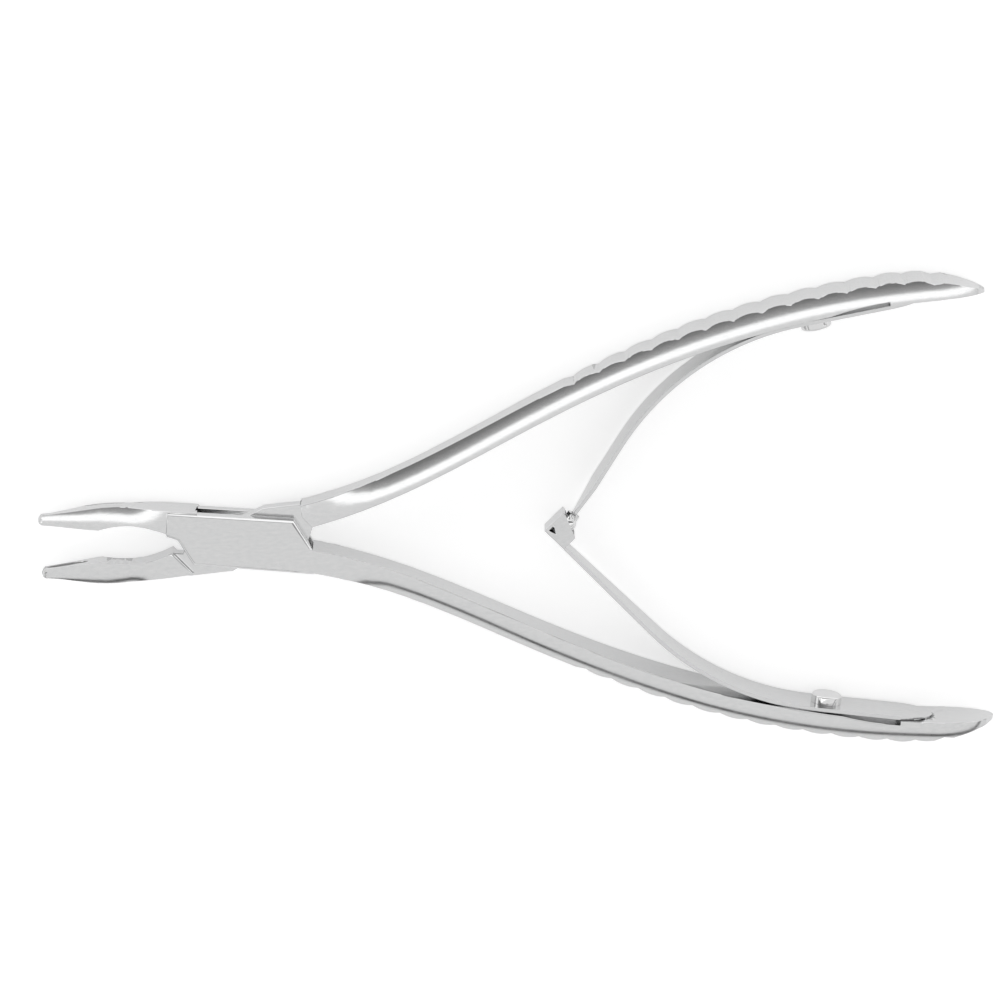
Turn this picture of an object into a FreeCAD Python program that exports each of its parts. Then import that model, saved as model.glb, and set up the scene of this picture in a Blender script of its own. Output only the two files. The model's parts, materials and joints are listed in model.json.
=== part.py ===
import FreeCAD, Part
import math
import os

from FreeCAD import Placement, Rotation, Vector

# Bone rongeur, about 140 mm long: two crossed halves in a box lock, opened by two leaf springs
# that meet in a ball and cup. It lies on its side. X runs from the jaws to the handle
# ends, Y is the plane in which it opens, Z stands up from the table.
# Each half is drawn closed, with the pivot at the origin and the middle plane at z = 0,
# and its Placement swings it open and lifts it to its place.

doc = FreeCAD.newDocument("bone_rongeur")
sheet = doc.addObject("Spreadsheet::Sheet", "Sizes")

# alias, value in mm or degrees, what it is
SIZES = [
    ("opening", 12.4, "angle between the halves at rest, and the closing travel"),
    ("box_thickness", 6.1, "over both cheeks of the box"),
    ("tang_thickness", 2.3, "the flat tongue inside the box"),
    ("tang_clearance", 0.05, "each side of the tang"),
    ("box_top", 3.65, "pivot to the box edge on the jaw side of the half"),
    ("box_bottom", 4.25, "pivot to the box edge on the handle side of the half"),
    ("slant_angle", 35.0, "direction that the slanted cheek ends face"),
    ("front_slant", 8.7, "pivot to the cheek end near the jaws"),
    ("rear_slant", 7.5, "pivot to the cheek end near the handles"),
    ("shoulder_gap", 0.8, "cheek end to the other half's shoulder, closed"),
    ("bridge_angle", 63.0, "lean of the walls that close the mortise"),
    ("bridge_reach", 8.85, "pivot to those walls, square to them"),
    ("bridge_gap", 0.35, "tang edge to the mortise wall, closed"),
    ("box_chamfer", 0.3, "edges of the cheek plates"),
    ("tang_edge", 3.5, "pivot to the tang's long edges"),
    ("tang_crest", 4.35, "pivot to the tang's proud corners"),
    ("pin_radius", 1.5, "flush pivot rivet"),
    ("pin_clearance", 0.03, "rivet to the tang's hole, radial"),
    ("jaw_reach", 31.2, "pivot to jaw tip"),
    ("bite_start", 22.1, "pivot to the beak corner"),
    ("bite_gap", 0.12, "between the bite faces, closed"),
    ("throat_rise", 1.05, "depth of the hollow behind the beak"),
    ("jaw_root_height", 3.9, "outer edge of the jaw beside the box"),
    ("jaw_mid_height", 3.4, "outer edge of the jaw over the beak"),
    ("jaw_tip_height", 1.15, "outer edge at the start of the tip round"),
    ("jaw_root_half", 2.3, "half width of the jaw beside the box"),
    ("jaw_mid_half", 2.2, "half width of the jaw's barrel at the beak"),
    ("jaw_back_half", 1.4, "half width of the jaw's back at the beak"),
    ("jaw_blend_x", 16.5, "where the jaw leaves the width of its root"),
    ("jaw_tip_half", 1.15, "half width of the jaw at the tip"),
    ("jaw_face_half", 1.55, "half width of the bite face at the beak"),
    ("cup_length", 6.6, "scooped cup in each bite face"),
    ("cup_half_width", 0.75, "the cup, across"),
    ("cup_depth", 0.75, "the cup, into the jaw"),
    ("handle_reach", 112.4, "pivot to handle end"),
    ("root_x", 9.7, "where the handles leave the box"),
    ("root_inner", 0.65, "inner line of the handle at its root"),
    ("neck_x", 23.5, "first point of the bow"),
    ("neck_inner", 3.55, "inner line there"),
    ("shank_x", 44.2, "middle of the straight shank"),
    ("shank_inner", 10.85, "inner line there"),
    ("grip_x", 68.3, "start of the grip"),
    ("grip_inner", 18.0, "inner line there"),
    ("heel_x", 90.8, "where the grip turns parallel"),
    ("heel_inner", 20.95, "inner line there"),
    ("end_inner", 20.35, "inner line at the handle end"),
    ("root_thickness", 3.5, "handle thickness beside the box"),
    ("shank_thickness", 3.3, "handle thickness along the shank"),
    ("grip_thickness", 3.35, "handle thickness along the grip"),
    ("end_thickness", 0.45, "handle thickness at the rounded end"),
    ("taper_length", 14.0, "length of the thinning towards the end"),
    ("shank_half", 2.45, "half width of the handle beside the box"),
    ("bow_half", 3.15, "half width of the handle at the middle of the shank"),
    ("grip_half", 4.25, "half width of the grip"),
    ("wide_x", 77.0, "where the grip has its full width"),
    ("nose_length", 8.0, "rounding of the handle end, seen on its inner face"),
    ("tooth_count", 14, "serrations on each handle"),
    ("tooth_pitch", 4.13, "from notch to notch"),
    ("tooth_depth", 0.38, "depth of the notches"),
    ("tooth_end", 7.5, "last notch to the handle's end, along X"),
    ("leaf_thickness", 0.55, "spring steel strip"),
    ("leaf_width", 7.2, "strip on the handle"),
    ("leaf_neck_width", 1.7, "upper strip where it enters the ball"),
    ("leaf_cup_width", 3.9, "lower strip where it enters the cup"),
    ("leaf_leave_x", 85.2, "where the strips leave the handles"),
    ("leaf_tip_x", 103.3, "end of the strips on the handles"),
    ("leaf_tip_length", 5.0, "rounded end of the strips"),
    ("leaf_bend_radius", 40.0, "bend of the strips off the handles"),
    ("tip_sink", 0.3, "tips of the strips below the handle's inner line"),
    ("seat_gap", 0.07, "strip to the handle, where its bend starts"),
    ("seat_start", 89.6, "start of the milled hollow under the strip"),
    ("seat_deep_x", 94.5, "deepest place of the hollow"),
    ("seat_depth", 0.5, "depth of the hollow there"),
    ("seat_clear", 2.0, "height of the milled cut over the handle's face"),
    ("seat_margin", 0.35, "round the strip's end in its milled seat"),
    ("screw_x", 87.3, "spring screws, from the pivot"),
    ("screw_head_radius", 2.25, "cylindrical head"),
    ("screw_head_height", 1.35, "cylindrical head"),
    ("screw_shank_radius", 1.0, "threaded shank"),
    ("screw_depth", 1.9, "shank below the strip"),
    ("screw_clearance", 0.15, "hole in the strip, radial"),
    ("joint_x", 47.3, "pivot to the ball, open"),
    ("ball_radius", 1.25, "ball on the upper strip"),
    ("collar_radius", 0.95, "shoulder between ball and strip"),
    ("socket_wall", 0.45, "folded sheet of the cup"),
    ("socket_play", 0.32, "ball to the cup's walls"),
    ("socket_rise", 2.7, "strip to the ball's centre"),
    ("socket_back", 3.9, "height of the cup's end wall"),
    ("socket_front", 2.4, "height of the cup's low wall"),
    ("neck_taper", 5.6, "upper strip, from full width to the ball"),
    ("cup_taper", 18.0, "lower strip, from full width to the cup"),
    ("last_notch", 1.3, "wide side of the end notches"),
    ("section_spare", 1.2, "how far the side surfaces run past the outlines"),
    ("root_step", 0.06, "cheek face above the jaw and handle that leave it"),
    ("root_inset", 0.15, "draft of the roots' sides"),
    ("shank_inset", 0.8, "draft of the shank's convex sides"),
    ("grip_inset", 0.4, "draft of the grip's convex sides"),
    ("jaw_root_inner", 0.45, "pivot line to the crotch of the jaw"),
    ("jaw_root_x", 11.2, "pivot to the end of the jaw's throat"),
    ("jaw_tip_round", 0.75, "rounding of the tip, seen from above"),
    ("jaw_nose", 1.6, "rounding of the tip, seen on the bite face"),
    ("cup_rim", 0.6, "rim between the cup and the tip"),
    ("bottom_drop", 0.25, "how much the box's bottom edge falls towards the handle"),
    ("collar_height", 0.45, "shoulder outside the ball"),
    ("head_gap", 0.02, "screw head to the strip"),
    ("screw_dome", 0.35, "round at the rim of the head"),
    ("notch_size", 1.1, "relief in the cup's folded corners"),
    ("nose_spare", 1.5, "how much wider the rounding tool is than what it rounds"),
    ("tool_height", 120.0, "height of the rounding tool, more than any piece needs"),
    ("tool_half_height", 90.0, "each side of the strip, for the tool that narrows it"),
    ("nose_flare", 0.12, "jaw's nose tool wider than the jaw's tip, each side"),
    ("tang_middle", 0.5, "straight middle of the tang's edges, each side of the pivot"),
    ("tang_rise_x", 3.0, "pivot to where the tang's edges reach their crests"),
    ("tang_crest_x", 6.9, "pivot to the end of the crest on the handle side"),
    ("tang_jaw_x", 9.2, "pivot to the end of the crest on the jaw side"),
    ("tang_fall", 0.4, "fall of the tang's edges to the handle and the jaw"),
    ("tang_lap", 0.8, "tang running on into the handle"),
    ("tang_jaw_lap", 0.6, "tang running on into the jaw"),
    ("tang_corner", 0.3, "tang's corner beyond the crotch of the jaw"),
    ("box_lap", 0.8, "cheeks running on over the jaw's root"),
    ("box_tail", 0.3, "cheeks running on over the handle's root"),
    ("box_sink", 0.05, "cheek's edge inside the handle's line"),
    ("jaw_lap", 2.0, "jaw running on into the box, short of root_x"),
    ("jaw_back_x", 5.5, "box end to the second point of the jaw's back"),
    ("jaw_back_rise", 0.45, "jaw's back there above its height over the beak"),
    ("jaw_bow_height", 2.42, "outer edge of the jaw halfway from beak to tip"),
    ("jaw_start_x", 7.0, "first section of the jaw's sides, inside the box"),
]


def fill_sheet():
    for row, (alias, value, note) in enumerate(SIZES, start=1):
        sheet.set(f"A{row}", alias)
        sheet.set(f"B{row}", str(value))
        sheet.set(f"C{row}", note)
        sheet.setAlias(f"B{row}", alias)
    doc.recompute()


fill_sheet()


def size(alias):
    return float(sheet.get(alias))


def bind(feature, links):
    """Bind properties of a feature to expressions on the sheet."""
    for prop, expression in links.items():
        feature.setExpression(prop, expression)
    return feature


def add(kind, name, **links):
    """A Part object whose properties follow the sheet."""
    return bind(doc.addObject(kind, name), links)


def shape_feature(name, shape, placement=None):
    """A plain feature for a shape that Part's own functions make."""
    feature = doc.addObject("Part::Feature", name)
    feature.Shape = shape
    if placement:
        feature.Placement = placement
    return feature


def cut(name, base, tool):
    feature = doc.addObject("Part::Cut", name)
    feature.Base = base
    feature.Tool = tool
    return feature


def common(name, base, tool):
    feature = doc.addObject("Part::Common", name)
    feature.Base = base
    feature.Tool = tool
    return feature


def fuse(name, shapes):
    feature = doc.addObject("Part::MultiFuse", name)
    feature.Shapes = shapes
    feature.Refine = False
    return feature


def line(start, end):
    return Part.LineSegment(Vector(*start, 0), Vector(*end, 0))


def spline(points):
    curve = Part.BSplineCurve()
    curve.interpolate([Vector(*p, 0) for p in points])
    return curve


def polygon(points):
    return [line(a, b) for a, b in zip(points, points[1:] + points[:1])]


def plate(name, geometry, thickness):
    """A PartDesign body: one sketch in the middle plane, padded to both sides of it."""
    body = doc.addObject("PartDesign::Body", name + "_body")
    sketch = body.newObject("Sketcher::SketchObject", name + "_sketch")
    plane = [f for f in body.Origin.OriginFeatures if f.Role == "XY_Plane"][0]
    sketch.AttachmentSupport = (plane, "")
    sketch.MapMode = "FlatFace"
    sketch.addGeometry(geometry, False)
    pad = body.newObject("PartDesign::Pad", name + "_pad")
    pad.Profile = sketch
    pad.SideType = "Symmetric"
    pad.setExpression("Length", thickness)
    sketch.Visibility = False
    return body


# Lines of a half whose handle and jaw both lie on the +Y side, closed

HALF = math.radians(size("opening") / 2)
MID_Z = size("grip_half")
HANDLE_END_X = size("handle_reach") * math.cos(HALF) - size("end_inner") * math.sin(HALF)
JAW_END_X = size("jaw_reach") * math.cos(HALF) - size("jaw_tip_height") / 2 * math.sin(HALF)
PIVOT_X = (JAW_END_X - HANDLE_END_X) / 2
INNER = spline(
    [
        (size("root_x"), size("root_inner")),
        (size("neck_x"), size("neck_inner")),
        (size("shank_x"), size("shank_inner")),
        (size("grip_x"), size("grip_inner")),
        (size("heel_x"), size("heel_inner")),
        (size("handle_reach"), size("end_inner")),
    ]
)


def turned(vector, angle):
    """The vector turned about Z by an angle in radians."""
    c, s = math.cos(angle), math.sin(angle)
    return Vector(vector.x * c - vector.y * s, vector.x * s + vector.y * c, vector.z)


def flat(point):
    return (point.x, point.y)


def inner_parameter(x):
    """The parameter of the inner line at a distance x from the pivot."""
    low, high = INNER.FirstParameter, INNER.LastParameter
    for _ in range(50):
        middle = (low + high) / 2
        if INNER.value(middle).x < x:
            low = middle
        else:
            high = middle
    return (low + high) / 2


def inner_frame(x):
    """Point, direction and outward normal of the handle's inner line."""
    at = inner_parameter(x)
    along = INNER.tangent(at)[0].normalize()
    return INNER.value(at), along, Vector(-along.y, along.x, 0)


def ramp(x, low, high):
    """0 before low, 1 after high, straight between."""
    return min(max((x - low) / (high - low), 0.0), 1.0)


def smooth(x, low, high):
    """0 before low, 1 after high, and an even curve between."""
    share = ramp(x, low, high)
    return share * share * (3 - 2 * share)


def mix(share, start, end):
    return start + share * (end - start)


def handle_thickness(x):
    shank = mix(smooth(x, size("root_x"), size("shank_x")), size("root_thickness"), size("shank_thickness"))
    grip = mix(smooth(x, size("shank_x"), size("grip_x")), shank, size("grip_thickness"))
    reach = size("handle_reach")
    return mix(ramp(x, reach - size("taper_length"), reach) ** 2, grip, size("end_thickness"))


def outer_point(x, depth=0.0):
    """A point of the handle's outer line, sunk by depth."""
    point, _, normal = inner_frame(x)
    return point + normal * (handle_thickness(x) - depth)


def notch_places():
    """Where the notches lie, from the last one back at an even pitch along the handle."""
    x = size("handle_reach") - size("tooth_end")
    places = [x]
    for _ in range(int(size("tooth_count")) - 1):
        x -= size("tooth_pitch") * inner_frame(x)[1].x
        places.insert(0, x)
    return places


def tooth_edges(places):
    """The serrated stretch of the outer line: a crowned arc from notch to notch."""
    depth = size("tooth_depth")
    edges = []
    for x, following in zip(places, places[1:]):
        crown = outer_point((x + following) / 2)
        edges.append(Part.Arc(outer_point(x, depth), crown, outer_point(following, depth)))
    return edges


def outer_spline(start, end, spans):
    """A stretch of the plain outer line."""
    return spline([flat(outer_point(mix(i / spans, start, end))) for i in range(spans + 1)])


def handle_outline():
    """The plan of the handle, with its teeth."""
    places = notch_places()
    start, reach = size("root_x"), size("handle_reach")
    before, after = places[0] - size("last_notch"), places[-1] + size("last_notch")
    depth, thick = size("tooth_depth"), size("root_thickness")
    root = Vector(start - thick, size("root_inner") + thick, 0)
    return [
        INNER,
        Part.LineSegment(INNER.StartPoint, root),
        Part.LineSegment(root, outer_point(start)),
        outer_spline(start, before, 6),
        Part.LineSegment(outer_point(before), outer_point(places[0], depth)),
        *tooth_edges(places),
        Part.LineSegment(outer_point(places[-1], depth), outer_point(after)),
        outer_spline(after, reach, 4),
        Part.LineSegment(outer_point(reach), INNER.EndPoint),
    ]


def side_section(x, inner, middle, outer):
    """A cross-section of a bar at x. Each argument is (y, half width): the sides are
    parabolas through the three, run on a little beyond them."""

    def half(y):
        total = 0.0
        places = (inner, middle, outer)
        for i, (yi, hi) in enumerate(places):
            term = hi
            for j, (yj, _) in enumerate(places):
                if j != i:
                    term *= (y - yj) / (yi - yj)
            total += term
        return total

    low, high = inner[0] - size("section_spare"), outer[0] + size("section_spare")
    centre = (low + high) / 2
    pole = 2 * half(centre) - (half(low) + half(high)) / 2
    corners = [Vector(x, low, half(low)), Vector(x, centre, pole), Vector(x, high, half(high))]
    top, bottom = Part.BezierCurve(), Part.BezierCurve()
    top.setPoles(corners)
    bottom.setPoles([Vector(p.x, p.y, -p.z) for p in reversed(corners)])
    across_high = Part.LineSegment(top.EndPoint, bottom.StartPoint)
    across_low = Part.LineSegment(bottom.EndPoint, top.StartPoint)
    return Part.Wire([curve.toShape() for curve in (top, across_high, bottom, across_low)])


def loft(name, sections):
    wires = [shape_feature(f"{name}_section_{i}", wire) for i, wire in enumerate(sections)]
    feature = doc.addObject("Part::Loft", name)
    feature.Sections = wires
    feature.Solid = True
    return feature


def handle_sides(name, root_half):
    """The solid that gives the handle its width and its convex sides."""
    root, neck, shank = size("root_x"), size("neck_x"), size("shank_x")
    grip, heel, reach = size("grip_x"), size("heel_x"), size("handle_reach")
    wide = size("wide_x")
    stations = [root, neck, shank, grip, wide, heel, reach - size("taper_length")]
    places = [root - size("section_spare")]
    for x, following in zip(stations, stations[1:]):
        places += [x, (x + following) / 2]
    places += [stations[-1], reach + size("section_spare")]
    sections = []
    for x in places:
        bow_half = mix(ramp(x, root, shank), size("shank_half"), size("bow_half"))
        bar_half = mix(smooth(x, shank, size("wide_x")), bow_half, size("grip_half"))
        half = mix(smooth(x, root, neck), max(root_half, bar_half), bar_half)
        inset = mix(smooth(x, root, shank), size("root_inset"), size("shank_inset"))
        inset = mix(smooth(x, shank, grip), inset, size("grip_inset"))
        y = inner_frame(min(max(x, root), reach))[0].y
        across = size("grip_thickness")
        middle = (y + across / 2, half - inset / 4)
        sections.append(side_section(x, (y, half), middle, (y + across, half - inset)))
    return loft(name, sections)


def nose_prism(name, start, length, half, back, angle=0.0):
    """A slab along Y whose plan ends in a half ellipse from start to start + length and
    is wider than any part before it. The angle, in degrees, turns it about the pivot."""
    wide = half + size("nose_spare")
    turn = 1 if length > 0 else -1
    tip = Vector(start + length, 0, 0)
    top, bottom = Vector(start, half, 0), Vector(start, -half, 0)
    if abs(length) > half:
        ellipse = Part.Ellipse(tip, top, Vector(start, 0, 0))
    else:
        ellipse = Part.Ellipse(top, tip, Vector(start, 0, 0))
    parameters = [ellipse.parameter(p) for p in (top, tip, bottom)]
    first = Part.ArcOfEllipse(ellipse, parameters[0], parameters[2])
    middle = first.value((first.FirstParameter + first.LastParameter) / 2)
    if (middle.x - start) * turn < 0:
        first = Part.ArcOfEllipse(ellipse, parameters[2], parameters[0])
    corners = [(start, wide), (back, wide), (back, -wide), (start, -wide)]
    rim = [top, *(Vector(x, y, 0) for x, y in corners), bottom]
    edges = [first.toShape()] + [Part.makeLine(a, b) for a, b in zip(rim, rim[1:])]
    face = Part.Face(Part.Wire(Part.sortEdges(edges)[0]))
    height = size("tool_height")
    prism = face.extrude(Vector(0, 0, height))
    lay = Placement(Vector(0, -height / 2, 0), Rotation(Vector(1, 0, 0), -90))
    spin = Placement(Vector(0, 0, 0), Rotation(Vector(0, 0, 1), angle))
    return shape_feature(name, prism, spin.multiply(lay))


def mirrored(name, source):
    feature = doc.addObject("Part::Mirroring", name)
    feature.Source = source
    feature.Normal = Vector(0, 1, 0)
    return feature


# Handles


def make_handle(name, root_half):
    outline = plate(name + "_plan", handle_outline(), "2.4 * Sizes.grip_half")
    bar = common(name + "_bar", outline, handle_sides(name + "_sides", root_half))
    length = size("nose_length")
    nose = nose_prism(name + "_nose", size("handle_reach") - length, length, size("grip_half"), 0)
    return common(name, bar, nose)


handle_b = make_handle("HandleB", size("shank_half"))
BOX_ROOT = size("box_thickness") / 2 - size("root_step")
handle_a_drawn = make_handle("HandleADrawn", BOX_ROOT)
handle_a = mirrored("HandleA", handle_a_drawn)

# Jaws


def jaw_outline():
    """The plan of the jaw: bite line, throat, back and rounded tip."""
    bite = size("bite_gap") / 2
    reach, beak, root = size("jaw_reach"), size("bite_start"), size("jaw_root_x")
    tip_y = size("jaw_tip_height")
    corner = size("jaw_tip_round")
    throat_x = (beak + root) / 2
    back = [
        (-size("root_x") + size("jaw_lap"), size("jaw_root_height")),
        (-root - 1, size("jaw_root_height")),
        (-root - size("jaw_back_x"), size("jaw_mid_height") + size("jaw_back_rise")),
        (-beak, size("jaw_mid_height")),
        (-(beak + reach) / 2 + 0.2, size("jaw_bow_height")),
        (-reach + corner, tip_y + corner / 2),
    ]
    back_line = spline(back)
    tip_start = Vector(-reach + corner, bite, 0)
    tip_end = Vector(*back[-1], 0)
    start = Vector(-size("root_x") + size("jaw_lap"), bite, 0)
    throat_end = Vector(-root, bite, 0)
    beak_point = Vector(-beak, bite, 0)
    return [
        Part.LineSegment(start, throat_end),
        Part.Arc(throat_end, Vector(-throat_x, bite + size("throat_rise"), 0), beak_point),
        Part.LineSegment(beak_point, tip_start),
        Part.Arc(tip_start, Vector(-reach, (bite + tip_end.y) / 2, 0), tip_end),
        back_line,
        Part.LineSegment(Vector(*back[0], 0), start),
    ]


def jaw_sides(name, root_half):
    """The solid that gives the jaw its barrel-shaped sides."""
    root, blend = size("jaw_root_x"), size("jaw_blend_x")
    beak, reach = size("bite_start"), size("jaw_reach")
    near = [size("jaw_start_x"), root + 0.8, (root + blend) / 2 + 0.4, blend + 1]
    sections = []
    for x in (*near, beak, (beak + reach) / 2, reach + 1):
        away = smooth(x, root + 0.5, blend + 1.5)
        forward = ramp(x, beak, reach)
        face = mix(forward, size("jaw_face_half"), size("jaw_tip_half") * 0.9)
        barrel = mix(forward, size("jaw_mid_half"), size("jaw_tip_half"))
        ridge = mix(forward, size("jaw_back_half"), size("jaw_tip_half") * 0.75)
        height = mix(forward, size("jaw_mid_height"), size("jaw_tip_height") + 0.6)
        height = mix(away, size("jaw_root_height"), height)
        sections.append(
            side_section(
                -x,
                (0, mix(away, root_half, face)),
                (height * 0.45, mix(away, root_half, barrel)),
                (height, mix(away, root_half - size("root_inset"), ridge)),
            )
        )
    return loft(name, sections)


def make_jaw(name, root_half):
    outline = plate(name + "_plan", jaw_outline(), "2 * Sizes.grip_half")
    bar = common(name + "_bar", outline, jaw_sides(name + "_sides", root_half))
    round_length = size("jaw_nose")
    start = round_length - size("jaw_reach")
    nose = nose_prism(name + "_nose", start, -round_length, size("jaw_tip_half") + size("nose_flare"), 0)
    whole = common(name + "_whole", bar, nose)
    cup = add(
        "Part::Ellipsoid",
        name + "_cup",
        Radius1="Sizes.cup_depth",
        Radius2="Sizes.cup_length / 2",
        Radius3="Sizes.cup_half_width",
    )
    middle = size("jaw_reach") - size("cup_rim") - size("cup_length") / 2
    place = Vector(-middle, size("bite_gap") / 2, 0)
    cup.Placement = Placement(place, Rotation(Vector(1, 0, 0), 90))
    return cut(name, whole, cup)


jaw_a = make_jaw("JawA", BOX_ROOT)
jaw_b_drawn = make_jaw("JawBDrawn", size("jaw_root_half"))
jaw_b = mirrored("JawB", jaw_b_drawn)


# Box lock


def along_slant(reach, y):
    """x of the point at height y on the slanted line at a distance reach."""
    angle = math.radians(size("slant_angle"))
    return (reach - y * math.sin(angle)) / math.cos(angle)


def along_bridge(reach, y):
    """x of the point at height y on the leaning line at a distance reach."""
    angle = math.radians(size("bridge_angle"))
    return (reach + y * math.cos(angle)) / math.sin(angle)


def box_outline():
    """Plan of the cheeks. The jaw joins at the upper left, the handle at the lower right."""
    top, bottom = size("box_top"), -size("box_bottom")
    rear, front = size("rear_slant"), -size("front_slant")
    inner = -size("root_inner")
    crotch = -size("jaw_root_inner")
    jaw_end = -size("jaw_root_x") - size("box_lap")
    tail = size("root_x") + size("box_tail")
    sink = size("box_sink")
    low = bottom + size("bottom_drop")
    return polygon(
        [
            (jaw_end, top),
            (along_slant(rear, top), top),
            (along_slant(rear, inner), inner),
            (tail, inner - sink),
            (tail, bottom - 2 * sink),
            (size("root_x") - size("root_thickness"), bottom - sink),
            (0, bottom + sink),
            (along_slant(front, low), low),
            (along_slant(front, crotch), crotch),
            (jaw_end, size("bite_gap") / 2),
        ]
    )


def slab(name, angle, low, high, thickness):
    """A plate between two parallel lines, at distances low and high from the pivot."""
    reach = 80.0
    turn = math.radians(angle)
    corners = [(low, -reach), (high, -reach), (high, reach), (low, reach)]
    points = [flat(turned(Vector(x, y, 0), turn)) for x, y in corners]
    return plate(name, polygon(points), thickness)


def chamfered(name, base, edges, amount):
    feature = doc.addObject("Part::Chamfer", name)
    feature.Base = base
    feature.Edges = [(i, amount, amount) for i in edges]
    return feature


def cheek_edges(body, left, right):
    """Edges round both cheek faces whose middles lie between left and right."""
    doc.recompute()
    half = size("box_thickness") / 2
    found = []
    for i, edge in enumerate(body.Shape.Edges, start=1):
        middle = edge.CenterOfMass
        box = edge.BoundBox
        level = abs(abs(middle.z) - half) < 1e-4 and box.ZLength < 1e-4
        if level and box.XMin > left - 1e-4 and box.XMax < right + 1e-4 and box.XLength > 0.01:
            found.append(i)
    return found


cheeks = plate("Cheeks", box_outline(), "Sizes.box_thickness")
rounded_edges = cheek_edges(cheeks, -size("jaw_root_x") - size("box_lap"), size("root_x"))
cheeks_eased = chamfered("CheeksEased", cheeks, rounded_edges, size("box_chamfer"))
box_solid = fuse("BoxSolid", [cheeks_eased, handle_a, jaw_a])
mortise = slab(
    "Mortise",
    size("bridge_angle") - 90,
    -size("bridge_reach"),
    size("bridge_reach"),
    "Sizes.tang_thickness + 2 * Sizes.tang_clearance",
)
box_open = cut("BoxOpen", box_solid, mortise)


def cylinder(name, radius, height, place, axis=Vector(0, 0, 1)):
    feature = add("Part::Cylinder", name, Radius=radius, Height=height)
    feature.Placement = Placement(place, Rotation(Vector(0, 0, 1), axis))
    return feature


box_level = Vector(0, 0, -size("box_thickness") / 2)
pin_bore = cylinder("PinBore", "Sizes.pin_radius", "Sizes.box_thickness", box_level)
half_a_bored = cut("HalfABored", box_open, pin_bore)
# The rivet is used through a mirror, so that its Placement stays free for its place.
pin_round = cylinder("PinRound", "Sizes.pin_radius", "Sizes.box_thickness", box_level)
pin_piece = mirrored("PivotPin", pin_round)


def tang_outline():
    edge, crest = size("tang_edge"), size("tang_crest")
    reach = size("bridge_reach") - size("bridge_gap")
    inner, corner = size("root_inner"), -size("jaw_root_inner") - size("tang_corner")
    root, jaw_root = size("root_x"), -size("jaw_root_x")
    rise, fall = size("tang_rise_x"), size("tang_fall")
    return polygon(
        [
            (along_bridge(-reach, edge), edge),
            (size("tang_middle"), edge),
            (rise, crest - fall / 8),
            (size("tang_crest_x"), crest - fall / 2),
            (root, crest - fall),
            (root + size("tang_lap"), inner + fall),
            (along_bridge(reach, inner), inner),
            (along_bridge(reach, -edge), -edge),
            (-size("tang_middle"), -edge),
            (-rise, -crest - 3 * fall / 8),
            (-size("tang_jaw_x"), -crest + fall / 8),
            (jaw_root, -crest + fall),
            (jaw_root - size("tang_jaw_lap"), corner + fall),
            (along_bridge(-reach, corner), corner),
        ]
    )


shoulder_rear = size("rear_slant") + size("shoulder_gap")
shoulder_front = size("front_slant") + size("shoulder_gap")
cheek_room = slab(
    "CheekRoom",
    size("slant_angle"),
    -shoulder_front,
    shoulder_rear,
    "2 * Sizes.box_thickness",
)
arms = fuse("Arms", [handle_b, jaw_b])
arms_trimmed = cut("ArmsTrimmed", arms, cheek_room)
tang = plate("Tang", tang_outline(), "Sizes.tang_thickness")
tang_solid = fuse("TangSolid", [tang, arms_trimmed])
tang_bore = cylinder("TangBore", "Sizes.pin_radius + Sizes.pin_clearance", "Sizes.box_thickness", box_level)
half_b_bored = cut("HalfBBored", tang_solid, tang_bore)

# Leaf springs


def strip_line():
    """Start, direction and outward normal of the strip's face on the handle, closed."""
    point, _, normal = inner_frame(size("leaf_leave_x"))
    tip_point, _, tip_normal = inner_frame(size("leaf_tip_x"))
    start = point - normal * size("seat_gap")
    along = (tip_point + tip_normal * size("tip_sink") - start).normalize()
    return start, along, Vector(-along.y, along.x, 0)


def strip_point(x, depth):
    """A point of the strip's face on the handle, moved by depth into the handle."""
    start, along, normal = strip_line()
    return start + along * ((x - start.x) / along.x) + normal * depth


def sunk_point(x, depth):
    """A point of the handle's inner line, sunk by depth."""
    point, _, normal = inner_frame(x)
    return point + normal * depth


def seat_outline():
    """Plan of the milled hollow that takes the end of the strip."""
    tip, clear = size("leaf_tip_x") + size("seat_margin"), -size("seat_clear")
    start = sunk_point(size("seat_start"), 0)
    deep = sunk_point(size("seat_deep_x"), size("seat_depth"))
    end = strip_point(tip, size("seat_gap"))
    rim = [end, sunk_point(tip, clear), sunk_point(size("seat_start"), clear), start]
    walls = [Part.LineSegment(a, b) for a, b in zip(rim, rim[1:])]
    return [Part.Arc(start, deep, end), *walls]


def seat_tool(name):
    block = plate(name + "_plan", seat_outline(), "2.4 * Sizes.grip_half")
    length, margin = size("leaf_tip_length"), size("seat_margin")
    start = size("leaf_tip_x") - length
    end = nose_prism(name + "_end", start, length + margin, size("leaf_width") / 2 + margin, 0)
    return common(name, block, end)


def screw_frame():
    """Where the screw enters the strip, on its free face, and the way into the handle."""
    return strip_point(size("screw_x"), -size("leaf_thickness")), strip_line()[2]


def screw_bore(name, clearance):
    point, normal = screw_frame()
    depth = "Sizes.screw_depth + Sizes.leaf_thickness"
    return cylinder(name, f"Sizes.screw_shank_radius + {clearance}", depth, point, normal)


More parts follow.
